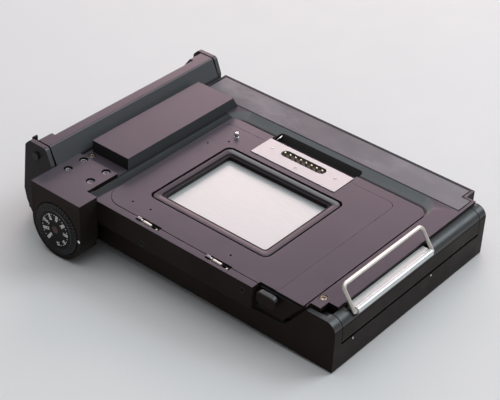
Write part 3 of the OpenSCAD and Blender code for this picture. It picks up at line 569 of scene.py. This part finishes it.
def body_of(name):
    """The body that a CAD part rides on."""
    return node[name].parent.name.split(":")[1]


def worked_copy(name):
    """A picked copy of a CAD part to work on, its loose triangles joined."""
    piece = bpy.data.objects.new(name + "_finished", node[name].data.copy())
    bpy.context.scene.collection.objects.link(piece)
    pick(piece)
    bpy.ops.object.mode_set(mode="EDIT")
    bpy.ops.mesh.select_all(action="SELECT")
    bpy.ops.mesh.remove_doubles(threshold=0.001 * MM)
    bpy.ops.mesh.customdata_custom_splitnormals_clear()
    bpy.ops.object.mode_set(mode="OBJECT")
    return piece


def softened(name, top, wall=None, rim=None, broken=0.3, segments=2):
    """A finished copy of a CAD part with its hard edges broken, shown in its place."""
    nearly_flat = math.radians(0.4)
    piece = worked_copy(name)
    bpy.ops.object.mode_set(mode="EDIT")
    bpy.ops.mesh.dissolve_limited(angle_limit=nearly_flat)
    bpy.ops.object.mode_set(mode="OBJECT")
    if rim:
        for material in (top, wall, rim):
            piece.data.materials.append(material)
    break_edges(piece, broken, segments, angle=20.0, rim=2 if rim else -1)
    dress(piece, body_of(name), top, wall, rim)
    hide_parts(name)
    return piece


def two_toned(name, top, wall):
    """A copy of a CAD part whose upright faces take a second material."""
    piece = worked_copy(name)
    smooth_rounds()
    dress(piece, body_of(name), top, wall)
    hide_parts(name)
    return piece


def outlined(piece, width, material):
    """Draws a narrow dark border round the top of a flat piece."""
    flat = 0.99
    pick(piece)
    bpy.ops.object.mode_set(mode="EDIT")
    bpy.ops.mesh.select_mode(type="FACE")
    bpy.ops.mesh.select_all(action="DESELECT")
    bpy.ops.object.mode_set(mode="OBJECT")
    for face in piece.data.polygons:
        face.select = face.normal.z > flat
    bpy.ops.object.mode_set(mode="EDIT")
    bpy.ops.mesh.inset(thickness=width * MM)
    bpy.ops.object.mode_set(mode="OBJECT")
    piece.data.materials.append(material)
    for face in piece.data.polygons:
        if face.normal.z > flat and not face.select:
            face.material_index = len(piece.data.materials) - 1


def tone_zone(piece, material, low, high, least=0.3, most=1.01):
    """Gives one material to the faces with their middle in a box and their lean within two limits."""
    if material.name not in piece.data.materials:
        piece.data.materials.append(material)
    low, high = at(*low), at(*high)
    for face in piece.data.polygons:
        inside = all(low[i] <= face.center[i] <= high[i] for i in range(3))
        if inside and least <= face.normal.z <= most:
            face.material_index = piece.data.materials.find(material.name)


def placed_copy(pattern, name, place):
    """A copy with its own mesh, put in place."""
    piece = bpy.data.objects.new(name, pattern.data.copy())
    piece.data.transform(place)
    bpy.context.scene.collection.objects.link(piece)
    return piece


def joined(name, pieces):
    """One piece out of several."""
    bpy.ops.object.select_all(action="DESELECT")
    for piece in pieces:
        piece.select_set(True)
    bpy.context.view_layer.objects.active = pieces[0]
    bpy.ops.object.join()
    pieces[0].name = name
    return pieces[0]


def rounded_ring(half_x, half_y, radius, z):
    """Points round a rectangle about the gate, with rounded corners."""
    steps = 8
    points = []
    for corner in range(4):
        side_x = 1 if corner in (0, 3) else -1
        side_y = 1 if corner in (0, 1) else -1
        for step in range(steps + 1):
            turn = math.radians(90.0 * (corner + step / steps))
            points.append(at(side_x * (half_x - radius) + radius * math.cos(turn),
                             side_y * (half_y - radius) + radius * math.sin(turn), z))
    return points


def loft(name, rings):
    """A closed body through rings of equal count, each joined to the next and the last to the first."""
    count = len(rings[0])
    mesh = bpy.data.meshes.new(name)
    faces = []
    for i in range(len(rings)):
        here = i * count
        there = (i + 1) % len(rings) * count
        for j in range(count):
            k = (j + 1) % count
            faces.append((here + j, here + k, there + k, there + j))
    mesh.from_pydata([point for ring in rings for point in ring], [], faces)
    piece = bpy.data.objects.new(name, mesh)
    bpy.context.scene.collection.objects.link(piece)
    pick(piece)
    bpy.ops.object.mode_set(mode="EDIT")
    bpy.ops.mesh.select_all(action="SELECT")
    bpy.ops.mesh.normals_make_consistent(inside=False)
    bpy.ops.object.mode_set(mode="OBJECT")
    return piece


def bent_wire(name, points, radius):
    """A round wire along a smooth line, with rounded ends."""
    line = bpy.data.curves.new(name, "CURVE")
    line.dimensions = "3D"
    line.bevel_depth = radius * MM
    line.bevel_resolution = 5
    line.use_fill_caps = True
    spline = line.splines.new("BEZIER")
    spline.bezier_points.add(len(points) - 1)
    for knot, point in zip(spline.bezier_points, points):
        knot.co = at(*point)
        knot.handle_left_type = "AUTO"
        knot.handle_right_type = "AUTO"
    piece = bpy.data.objects.new(name, line)
    bpy.context.scene.collection.objects.link(piece)
    pick(piece)
    bpy.ops.object.convert(target="MESH")
    piece = bpy.context.object
    break_edges(piece, radius * 0.7, segments=3, angle=60.0)
    return piece


def small_block(name, size, middle, broken, segments=2):
    """A small block with broken edges."""
    bpy.ops.object.select_all(action="DESELECT")
    bpy.ops.mesh.primitive_cube_add(size=MM)
    block = bpy.context.object
    block.name = name
    block.scale = size
    bpy.ops.object.transform_apply(location=False, rotation=False, scale=True)
    block.data.transform(Matrix.Translation(at(*middle)))
    break_edges(block, broken, segments)
    return block


# Pieces

def adapter():
    """The hollowed frame round the plate, with painted reflection and painted shade on its sloped bank,
    painted shade in its left cove, darker rims, and painted light on the grey walls of its pit.
    """
    left_cove = (-51.5, -60.0, 0.02), (-46.9, 46.0, 1.25)
    far_bank = (-52.0, 41.0, -1.25), (63.0, 56.0, 0.7)
    far_rim = (-80.0, 71.85, 0.5), (90.0, 73.1, 0.7)
    left_rim = (-76.0, 54.5, 0.5), (-74.0, 73.1, 0.7)
    pit = (-23.3, 50.1, -5.1), (24.5, 52.4, 0.7)
    piece = two_toned("interface_frame", frame_top, frame_wall)
    # Painted shade in the cove between the raised block and the plate.
    tone_zone(piece, frame_dark, *left_cove)
    # Painted reflection and painted shade on the far bank.
    tone_zone(piece, bank, *far_bank, least=0.8, most=0.992)
    tone_zone(piece, frame_dark, *far_rim)
    tone_zone(piece, frame_dark, *left_rim)
    # Painted light on the pit's upright walls.
    tone_zone(piece, pit_wall, *pit, least=-0.3, most=0.3)


def inset_plate():
    """The plate, its near edge drawn in a little so that the joint there shows as a dark line."""
    near_band = at(0, -38.0, 0).y
    drawn_in = 0.1
    plate = two_toned("interface_plate", frame_top, frame_wall)
    for vertex in plate.data.vertices:
        if vertex.co.y < near_band:
            vertex.co.y += drawn_in * (near_band - vertex.co.y)


def block_and_dial_housing():
    """The long raised block, and the dial housing with painted shade in black on the floors of its screw
    sinks.
    """
    screw_sinks = (-73.0, -40.6, 0.8), (-54.0, -26.0, 1.5)
    softened("raised_block", block_top, block_wall, broken=0.5, segments=3)
    housing = softened("dial_housing", frame_top, frame_wall, broken=0.45, segments=3)
    # Painted shade: black on the floors of the screw sinks.
    tone_zone(housing, outline_black, *screw_sinks)


def roller_bar_and_yoke():
    """The bar that houses the rollers, with a painted highlight on the bevels above its slanted face, and
    the riveted yoke round it.
    """
    softened("roller_housing", bar_top, block_wall, light_edge, broken=0.35)
    softened("locking_yoke", bar_top, block_wall, broken=0.5, segments=3)
    softened("yoke_rivets", screw_dull, broken=0.4)


def shell_and_door():
    """The holder body and its film door, drawn a little apart at the handle's end, with painted shade in
    black on the faces inside the seam.
    """
    near, far = -35.5, 63.5
    end_low, end_high = 79.0, 79.5
    behind_end = (70.0, near, -15.5), (79.18, far, -12.7)
    knuckle_edge, knuckle_lift = (-12.9, -12.7), 0.4
    door_edge, door_drop = (-13.4, -13.25), -0.3
    shell = softened("holder_body", shell_top, shell_wall, broken=0.3)
    door = softened("film_door", shell_top, shell_wall, broken=0.4)
    for piece, (low, high), shift in ((shell, knuckle_edge, knuckle_lift), (door, door_edge, door_drop)):
        bottom, top = at(end_low, near, low), at(end_high, far, high)
        for vertex in piece.data.vertices:
            if all(bottom[i] <= vertex.co[i] <= top[i] for i in range(3)):
                vertex.co.z += shift * MM
        # Painted shade: black on the faces inside the seam, behind the end.
        tone_zone(piece, outline_black, *behind_end, least=-1.01)


def strip_plate_and_button():
    """The worn strip with painted shade in a narrow dark border round its top, the contact plate and the
    release button.
    """
    strip = softened("side_strip", worn_strip(), broken=0.1)
    # Painted shade in a narrow border round the strip's top.
    outlined(strip, 0.5, outline_black)
    softened("contact_plate", pale_plate, broken=0.12)
    softened("release_button", shell_top, frame_wall, broken=0.45)


def screw_pattern():
    """A screw head 1 mm in radius with a cross recess, its top at the origin."""
    height = 0.7
    slot_size = (1.3, 0.46, 0.9)
    bpy.ops.object.select_all(action="DESELECT")
    bpy.ops.mesh.primitive_cylinder_add(vertices=48, radius=MM, depth=height * MM,
                                        location=(0, 0, -height / 2 * MM))
    head = bpy.context.object
    bpy.ops.object.transform_apply(location=True, rotation=True, scale=True)
    for turn in (45.0, 135.0):
        bpy.ops.mesh.primitive_cube_add(size=MM, rotation=(0, 0, math.radians(turn)))
        cutter = bpy.context.object
        cutter.scale = slot_size
        bpy.ops.object.transform_apply(location=True, rotation=True, scale=True)
        pick(head)
        recess = head.modifiers.new("recess", "BOOLEAN")
        recess.operation = "DIFFERENCE"
        recess.object = cutter
        bpy.ops.object.modifier_apply(modifier=recess.name)
        bpy.data.objects.remove(cutter)
    break_edges(head, 0.10, angle=40.0)
    return head


def cross_screws(pattern, node_name, material, spots, facing=Matrix.Identity(4)):
    """Cross-headed screws in the places of the plain ones, each with a place and a turn in degrees."""
    head_radius = 1.5
    heads = []
    for spot, turn in spots:
        turned = Matrix.Rotation(math.radians(turn), 4, "Z")
        place = Matrix.Translation(at(*spot)) @ facing @ turned @ Matrix.Scale(head_radius, 4)
        heads.append(placed_copy(pattern, node_name + "_head", place))
    piece = joined(node_name + "_finished", heads)
    dress(piece, "back", material)
    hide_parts(node_name)


def screws():
    """The four screws of the dial housing, the two of the plate and the two in the near side."""
    left, right, near, far, sunk = -70.5, -56.6, -38.1, -28.6, 1.5
    facing_near = Matrix.Rotation(math.radians(90.0), 4, "X")
    pattern = screw_pattern()
    cross_screws(pattern, "housing_screws", screw_black,
                 [((left, far, sunk), 20), ((left, near, sunk), 60),
                  ((right, far, sunk), 5), ((right, near, sunk), 40)])
    cross_screws(pattern, "plate_screw", screw_steel,
                 [((65.9, -31.0, 0.45), 15), ((-71.8, -22.0, 0.45), 50)])
    cross_screws(pattern, "side_screws", screw_dull,
                 [((-19.7, -44.75, -9.3), 30), ((35.5, -44.75, -4.2), 70)], facing_near)
    bpy.data.objects.remove(pattern)


def bezel():
    """The black frame round the gate: a flat rim, a step down to the lip and the opening's wall."""
    # Half sizes along X and Y, corner radius and height of each ring, from the outer wall inwards
    rings = [
        (32.2, 25.9, 2.6, -2.2),
        (32.2, 25.9, 2.6, -0.35),
        (32.05, 25.75, 2.5, -0.2),
        (31.6, 25.3, 2.3, -0.2),
        (29.75, 23.15, 1.9, -0.21),
        (29.6, 23.0, 1.8, -0.27),
        (29.5, 22.9, 1.8, -0.6),
        (28.6, 21.85, 1.45, -0.7),
        (28.45, 21.7, 1.4, -0.75),
        (28.25, 21.5, 1.3, -1.0),
        (28.25, 21.5, 1.3, -2.2),
    ]
    lip = (-29.6, -23.0, -1.3), (29.6, 23.0, -0.5)
    far_side = (-30.4, 23.1, -0.3), (30.4, 25.9, -0.15)
    piece = loft("gate_bezel_finished", [rounded_ring(*ring) for ring in rings])
    smooth_rounds()
    dress(piece, "back", bezel_top, frame_wall)
    # Painted shade on the lip.
    tone_zone(piece, gate_lip, *lip, least=0.8)
    tone_zone(piece, far_cove, *far_side, least=0.9)
    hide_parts("gate_bezel")


def film_dial():
    """The film speed dial: ribbed rim, dull face set back by the height of its marks."""
    low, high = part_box("film_speed_dial")
    mark_height = 0.06 * MM
    face_radius = 9.4 * MM
    outward = -0.9
    centre = Vector(((low[0] + high[0]) / 2, low[1], (low[2] + high[2]) / 2))
    dial = worked_copy("film_speed_dial")
    smooth_rounds()
    dress(dial, "dial", dial_rim)
    dial.data.materials.append(dial_face)
    for vertex in dial.data.vertices:
        if vertex.co.y < low[1] + mark_height:
            vertex.co.y += mark_height
    for face in dial.data.polygons:
        if face.normal.y < outward and (face.center - centre).length < face_radius:
            face.material_index = 1
    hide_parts("film_speed_dial")
    speed_marks(centre, mark_height)
    centre_mark(centre, mark_height)


def standing(centre, x, z, height):
    """Lays a flat mark against the dial's face."""
    upright = Matrix.Rotation(math.radians(90.0), 4, "X")
    return Matrix.Translation(centre + Vector((x, height / 2, z))) @ upright


def speed_number(speed, clock, centre, height):
    """A film speed that ends near the dial's rim, at an angle round the dial in degrees."""
    rim_end, letter_height, thickening = 7.9 * MM, 2.15 * MM, 0.03 * MM
    bpy.ops.object.select_all(action="DESELECT")
    bpy.ops.object.text_add()
    text = bpy.context.object.data
    text.body = str(speed)
    text.size = letter_height
    text.align_x = "RIGHT"
    text.align_y = "CENTER"
    text.extrude = height / 2
    text.offset = thickening
    bpy.ops.object.convert(target="MESH")
    number = bpy.context.object
    middle = Matrix.Translation(centre + Vector((0, height / 2, 0)))
    turn = Matrix.Rotation(math.radians(clock - 90.0), 4, "Y")
    upright = Matrix.Rotation(math.radians(90.0), 4, "X")
    outwards = Matrix.Translation(Vector((rim_end, 0, 0)))
    number.data.transform(middle @ turn @ upright @ outwards)
    return number


def speed_dot(clock, centre, height):
    """A small dot near the dial's rim."""
    from_centre, radius = 7.6 * MM, 0.22 * MM
    angle = math.radians(clock)
    bpy.ops.mesh.primitive_cylinder_add(vertices=20, radius=radius, depth=height)
    dot = bpy.context.object
    x, z = math.sin(angle) * from_centre, math.cos(angle) * from_centre
    dot.data.transform(standing(centre, x, z, height))
    return dot


def speed_marks(centre, height):
    """White film speeds read along the radius, with two small dots between each and the next."""
    speeds = [25 * 2 ** i for i in range(9)]
    first, step = 166.0, 38.6
    marks = []
    for i, speed in enumerate(speeds):
        clock = first - i * step
        marks.append(speed_number(speed, clock, centre, height))
        if speed < speeds[-1]:
            marks += [speed_dot(clock - third * step / 3, centre, height) for third in (1, 2)]
    piece = joined("dial_marks", marks)
    dress(piece, "dial", white_paint)


def centre_mark(centre, height):
    """The round mark in the middle of the dial."""
    bpy.ops.object.select_all(action="DESELECT")
    bpy.ops.mesh.primitive_cylinder_add(vertices=40, radius=1.8 * MM, depth=height)
    spot = bpy.context.object
    spot.name = "dial_centre_mark"
    spot.data.transform(standing(centre, 0.0, 0.0, height))
    break_edges(spot, 0.02)
    dress(spot, "dial", red_paint)


def catches():
    """The two latch catches: a bright bent bar, a stub and a tip over a base, and a dark stop."""
    parts = []
    for x in (-18.7, 20.1):
        bar = [(x - 2.6, -41.9, -0.35), (x, -41.95, -0.3), (x + 2.0, -42.0, -0.4)]
        stub = [(x + 4.3, -42.3, -1.9), (x + 4.9, -42.4, -0.7), (x + 5.6, -42.4, -0.6)]
        tip = [(x - 3.9, -41.6, -1.8), (x - 3.9, -41.6, -0.5), (x - 3.8, -41.6, 0.1)]
        parts += [
            small_block("base", (11.6, 2.0, 0.6), (x, -41.9, -3.3), broken=0.15),
            bent_wire("bar", bar, radius=0.75),
            bent_wire("stub", stub, radius=0.6),
            bent_wire("tip", tip, radius=0.45),
        ]
        stop = small_block("catch_stop", (2.0, 1.5, 3.6), (x - 5.3, -41.7, -1.25), broken=0.25, segments=3)
        dress(stop, "back", screw_black)
    piece = joined("latch_catches_finished", parts)
    dress(piece, "back", wire_steel)
    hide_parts("latch_catches")


def small_details():
    """The end pins of the door, the spring wire in the pit, and the stud and the tab of the bar."""
    pin_level, stud_level = -14.5, 8.2
    for y in (-27.8, 27.0):
        pin = bent_wire("end_pin", [(x, y, pin_level) for x in (78.6, 79.1, 79.5)], radius=0.45)
        dress(pin, "door", bright_steel)
    hook = [(-22.6, 51.9, -1.5), (-21.7, 51.3, -0.9), (-21.3, 49.6, -0.7),
            (-21.5, 47.8, -1.0), (-22.3, 47.2, -1.8)]
    wire = bent_wire("pit_wire", hook, radius=0.25)
    dress(wire, "back", bright_steel)
    stud = bent_wire("bar_stud", [(x, 60.0, stud_level) for x in (-84.2, -85.6, -86.9)], radius=0.9)
    dress(stud, "back", screw_black)
    tab = small_block("bar_end_tab", (1.0, 3.0, 6.0), (-92.7, -36.6, 5.4), broken=0.4, segments=3)
    dress(tab, "back", screw_dull)


# The object

paint("film_mask", inner_black)
paint("dark_slide", stainless)
paint("slide_handle", wire_steel)
paint("roller_bracket pack_springs contact_springs release_spring door_hinge_pin", spring_steel)
paint("upper_roller lower_roller locating_pin contact_rivets", bright_steel)
paint("contact_pins", gilt)
paint("contact_block", resin)
paint("slide_light_trap", felt)
paint("index_dot", white_paint)

adapter()
inset_plate()
block_and_dial_housing()
roller_bar_and_yoke()
shell_and_door()
strip_plate_and_button()
screws()
bezel()
film_dial()
catches()
small_details()

place_camera()
lay_floor()
light_the_studio()
